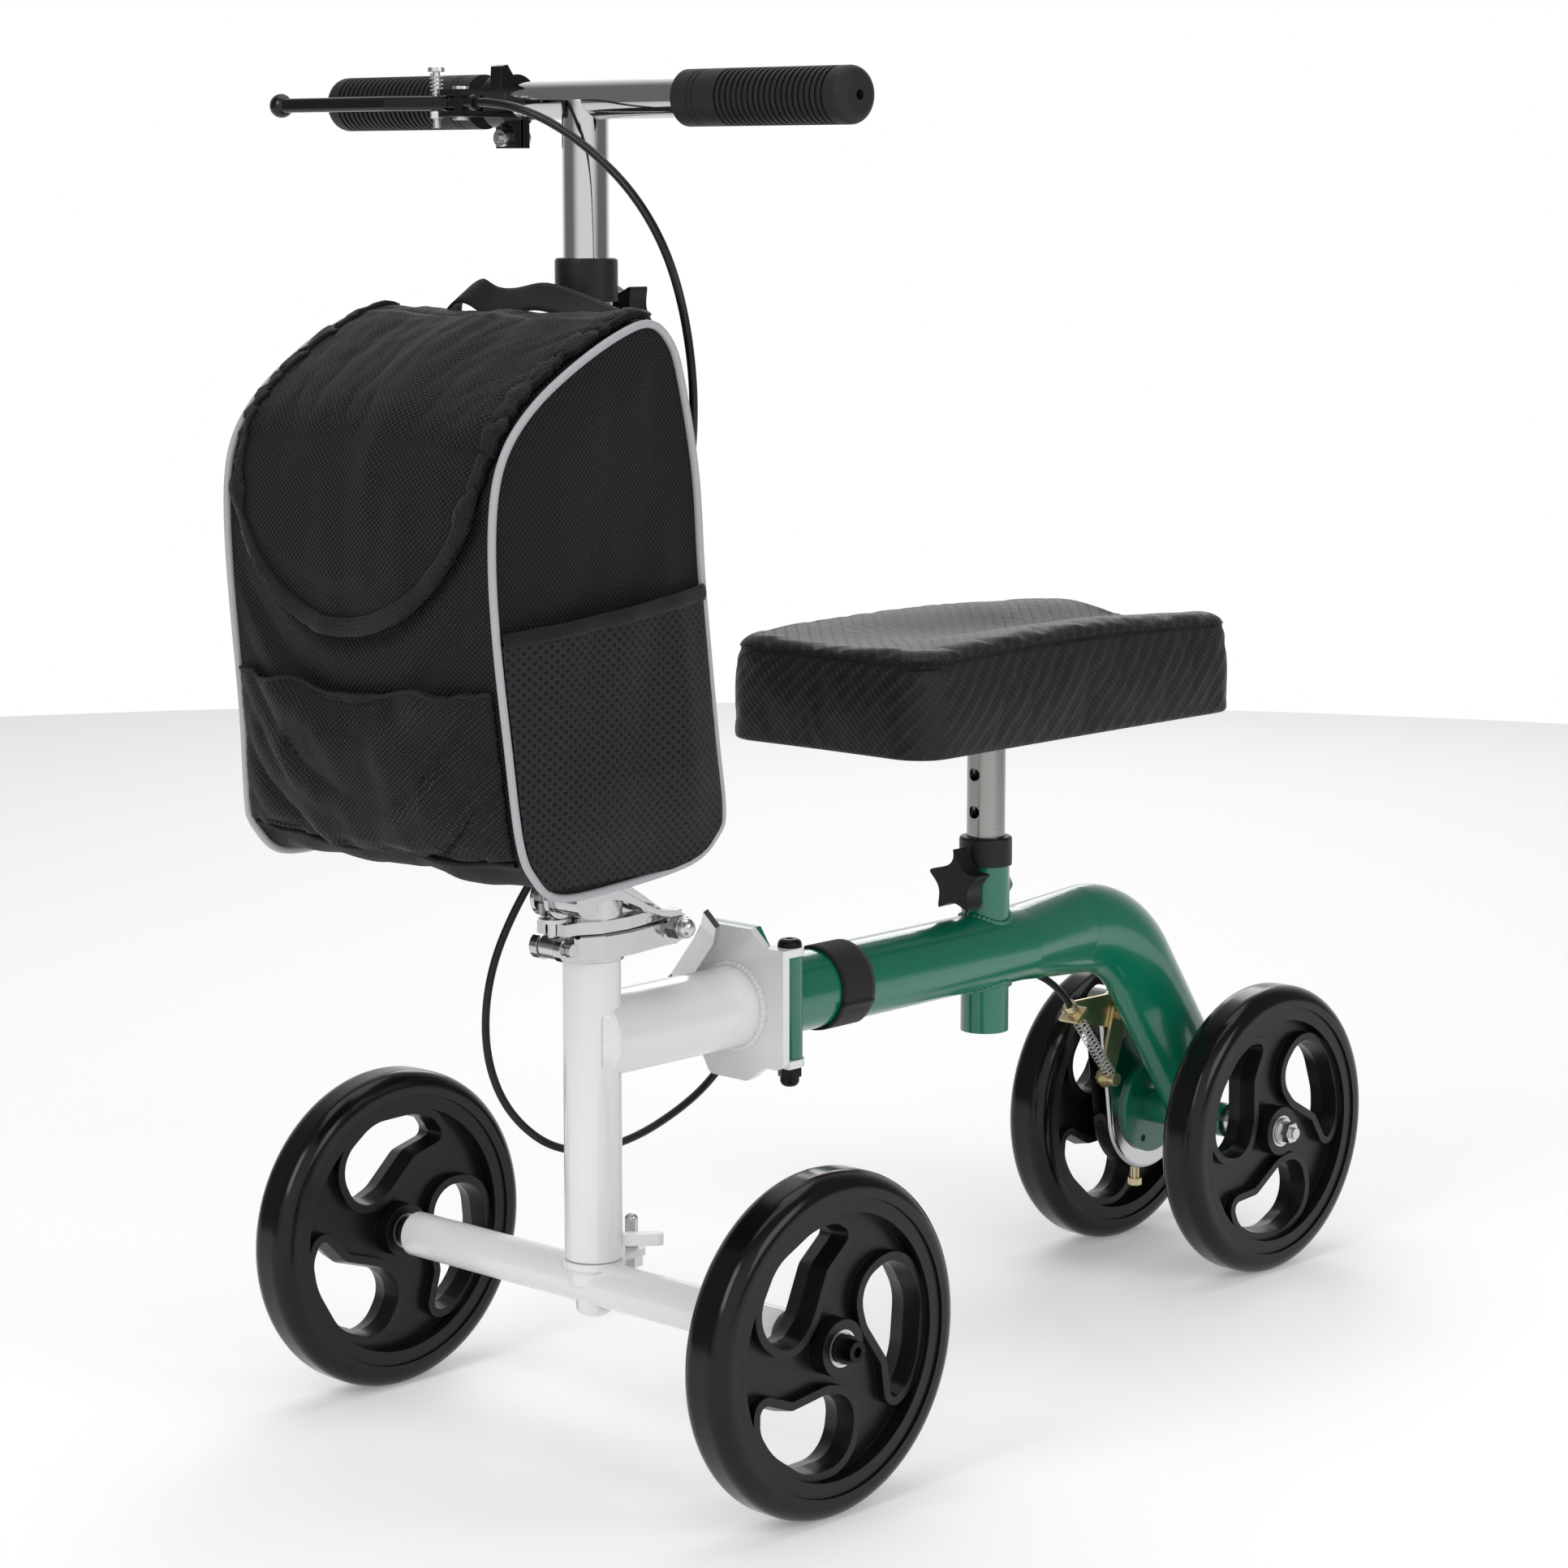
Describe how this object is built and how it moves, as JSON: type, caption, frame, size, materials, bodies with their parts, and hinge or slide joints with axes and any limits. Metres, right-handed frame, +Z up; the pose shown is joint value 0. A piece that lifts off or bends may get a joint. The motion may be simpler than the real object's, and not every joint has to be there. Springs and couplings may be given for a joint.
{
  "type": "knee scooter",
  "caption": "Steerable knee scooter with a folding chrome stem, hand brake, front bag, padded knee rest on a green beam, and small solid wheels.",
  "frame": {"origin": "on the floor under the steering axis, between the front wheels", "axes": "+X forward, +Y to the rider's left, +Z up"},
  "size_m": [0.8763, 0.426, 0.824],
  "materials": {
    "white_paint": "gloss",
    "green_paint": "gloss",
    "tyre_black": "gloss",
    "wheel_plastic": "satin",
    "bearing_steel": "satin",
    "chrome_tube": "mirror",
    "brushed_post": "brushed",
    "steel_fastener": "satin",
    "black_fastener": "satin",
    "zinc_plate": "satin",
    "drum_iron": "machined",
    "bush_plastic": "satin",
    "knob_plastic": "satin",
    "bracket_black": "gloss",
    "lever_black": "gloss",
    "grip_rubber": "matte",
    "cable_black": "satin",
    "bag_nylon": "woven",
    "webbing": "woven",
    "pad_vinyl": "satin",
    "board_wood": "plain"
  },
  "bodies": {
    "front_frame_body": {"front_frame": "white_paint", "head_bushings": "bush_plastic", "hinge_bolt": "black_fastener", "latch_bolt": "steel_fastener", "cable_rear": "cable_black"},
    "steering": {"steering_axle": "white_paint", "stop_bolt": "steel_fastener", "front_axle_bolts": "black_fastener", "fold_base": "chrome_tube", "fold_pivot_bolt": "steel_fastener", "cable_lower": "cable_black"},
    "front_left_wheel": {"front_left_tyre": "tyre_black", "front_left_rim": "wheel_plastic", "front_left_bearings": "bearing_steel"},
    "front_right_wheel": {"front_right_tyre": "tyre_black", "front_right_rim": "wheel_plastic", "front_right_bearings": "bearing_steel"},
    "stem": {"stem_clamp": "chrome_tube", "stem_tube": "chrome_tube", "stem_collar": "knob_plastic", "stem_bolt": "steel_fastener", "bag_body": "bag_nylon", "bag_straps": "webbing", "cable_middle": "cable_black"},
    "eyebolt_swivel": {"eyebolt": "steel_fastener"},
    "cam": {"cam_lever": "chrome_tube"},
    "stem_knob_body": {"stem_knob": "knob_plastic"},
    "handlebar_body": {"handlebar": "chrome_tube", "grips": "grip_rubber", "brake_bracket": "bracket_black", "bracket_pins": "steel_fastener", "cable_upper": "cable_black"},
    "brake_lever_body": {"brake_lever": "lever_black", "lock_spring": "steel_fastener"},
    "lock_button_body": {"lock_button": "steel_fastener"},
    "bag_lid_body": {"bag_lid": "bag_nylon"},
    "rear_frame_body": {"rear_frame": "green_paint", "seat_collar": "knob_plastic", "seat_bolt": "steel_fastener", "beam_strap": "webbing", "rear_axle": "steel_fastener", "rear_spacers": "steel_fastener", "brake_cover": "chrome_tube", "brake_band": "zinc_plate", "brake_anchor": "zinc_plate", "brake_screws": "zinc_plate", "brake_spring_and_wire": "steel_fastener"},
    "latch": {"latch_lever": "steel_fastener"},
    "rear_left_wheel": {"rear_left_tyre": "tyre_black", "rear_left_rim": "wheel_plastic", "rear_left_bearings": "bearing_steel"},
    "rear_right_wheel": {"rear_right_tyre": "tyre_black", "rear_right_rim": "wheel_plastic", "rear_right_bearings": "bearing_steel", "brake_drum": "drum_iron"},
    "seat": {"seat_post": "brushed_post", "seat_board": "board_wood", "seat_pad": "pad_vinyl"},
    "seat_knob_body": {"seat_knob": "knob_plastic"},
    "brake_arm_body": {"brake_arm": "zinc_plate"}
  },
  "joints": [
    {"name": "steering_turn", "type": "hinge", "parent": "front_frame_body", "child": "steering", "pos_m": [0, 0, 0.2], "axis": [0, 0, 1], "range_deg": [-28, 28]},
    {"name": "front_left_wheel_spin", "type": "hinge", "parent": "steering", "child": "front_left_wheel", "pos_m": [0, 0.1853, 0.1015], "axis": [0, 1, 0], "continuous": true},
    {"name": "front_right_wheel_spin", "type": "hinge", "parent": "steering", "child": "front_right_wheel", "pos_m": [0, -0.1853, 0.1015], "axis": [0, 1, 0], "continuous": true},
    {"name": "rear_left_wheel_spin", "type": "hinge", "parent": "rear_frame_body", "child": "rear_left_wheel", "pos_m": [-0.5896, 0.0676, 0.1015], "axis": [0, 1, 0], "continuous": true},
    {"name": "rear_right_wheel_spin", "type": "hinge", "parent": "rear_frame_body", "child": "rear_right_wheel", "pos_m": [-0.5896, -0.0676, 0.1015], "axis": [0, 1, 0], "continuous": true},
    {"name": "stem_fold", "type": "hinge", "parent": "steering", "child": "stem", "pos_m": [-0.057, 0, 0.313], "axis": [0, -1, 0], "range_deg": [0, 40]},
    {"name": "eyebolt_swing", "type": "hinge", "parent": "stem", "child": "eyebolt_swivel", "pos_m": [0.031, 0, 0.311], "axis": [0, -1, 0], "range_deg": [-55, 0]},
    {"name": "cam_lever_turn", "type": "hinge", "parent": "eyebolt_swivel", "child": "cam", "pos_m": [0.031, 0, 0.341], "axis": [0, 1, 0], "range_deg": [0, 65]},
    {"name": "handlebar_height", "type": "slide", "parent": "stem", "child": "handlebar_body", "axis": [0, 0, 1], "range_m": [-0.05, 0.15], "deforming": ["cable_upper", "cable_middle"]},
    {"name": "stem_knob_turn", "type": "hinge", "parent": "stem", "child": "stem_knob_body", "pos_m": [-0.03, 0, 0.679], "axis": [-1, 0, 0], "continuous": true},
    {"name": "bag_lid_open", "type": "hinge", "parent": "stem", "child": "bag_lid_body", "pos_m": [0.058, 0, 0.6845], "axis": [0, -1, 0], "range_deg": [0, 75]},
    {"name": "brake_lever_pull", "type": "hinge", "parent": "handlebar_body", "child": "brake_lever_body", "pos_m": [0.038, -0.064, 0.8015], "axis": [0, 0, 1], "range_deg": [-12, 0], "stiffness_Nm_per_rad": 0.6, "springref_deg": 5.73},
    {"name": "lock_button_press", "type": "slide", "parent": "brake_lever_body", "child": "lock_button_body", "axis": [0, 0, -1], "range_m": [0, 0.004], "stiffness_N_per_m": 400, "springref_m": -0.002, "deforming": ["lock_spring"]},
    {"name": "frame_fold", "type": "hinge", "parent": "front_frame_body", "child": "rear_frame_body", "pos_m": [-0.138, 0.033, 0.254], "axis": [0, 0, 1], "range_deg": [-110, 0]},
    {"name": "latch_lever_turn", "type": "hinge", "parent": "front_frame_body", "child": "latch", "pos_m": [-0.113, -0.036, 0.262], "axis": [0, 0.7604, -0.6494], "range_deg": [0, 90]},
    {"name": "seat_height", "type": "slide", "parent": "rear_frame_body", "child": "seat", "axis": [0, 0, -1], "range_m": [-0.075, 0.02]},
    {"name": "seat_knob_turn", "type": "hinge", "parent": "rear_frame_body", "child": "seat_knob_body", "pos_m": [-0.34, 0, 0.301], "axis": [1, 0, 0], "continuous": true},
    {"name": "brake_arm_pull", "type": "hinge", "parent": "rear_frame_body", "child": "brake_arm_body", "pos_m": [-0.548, -0.03, 0.178], "axis": [0, 1, 0], "range_deg": [-12, 0], "deforming": ["brake_spring_and_wire"]}
  ],
  "couplings": [
    {"joint": "brake_arm_pull", "follows": "brake_lever_pull", "ratio": 0.83}
  ]
}
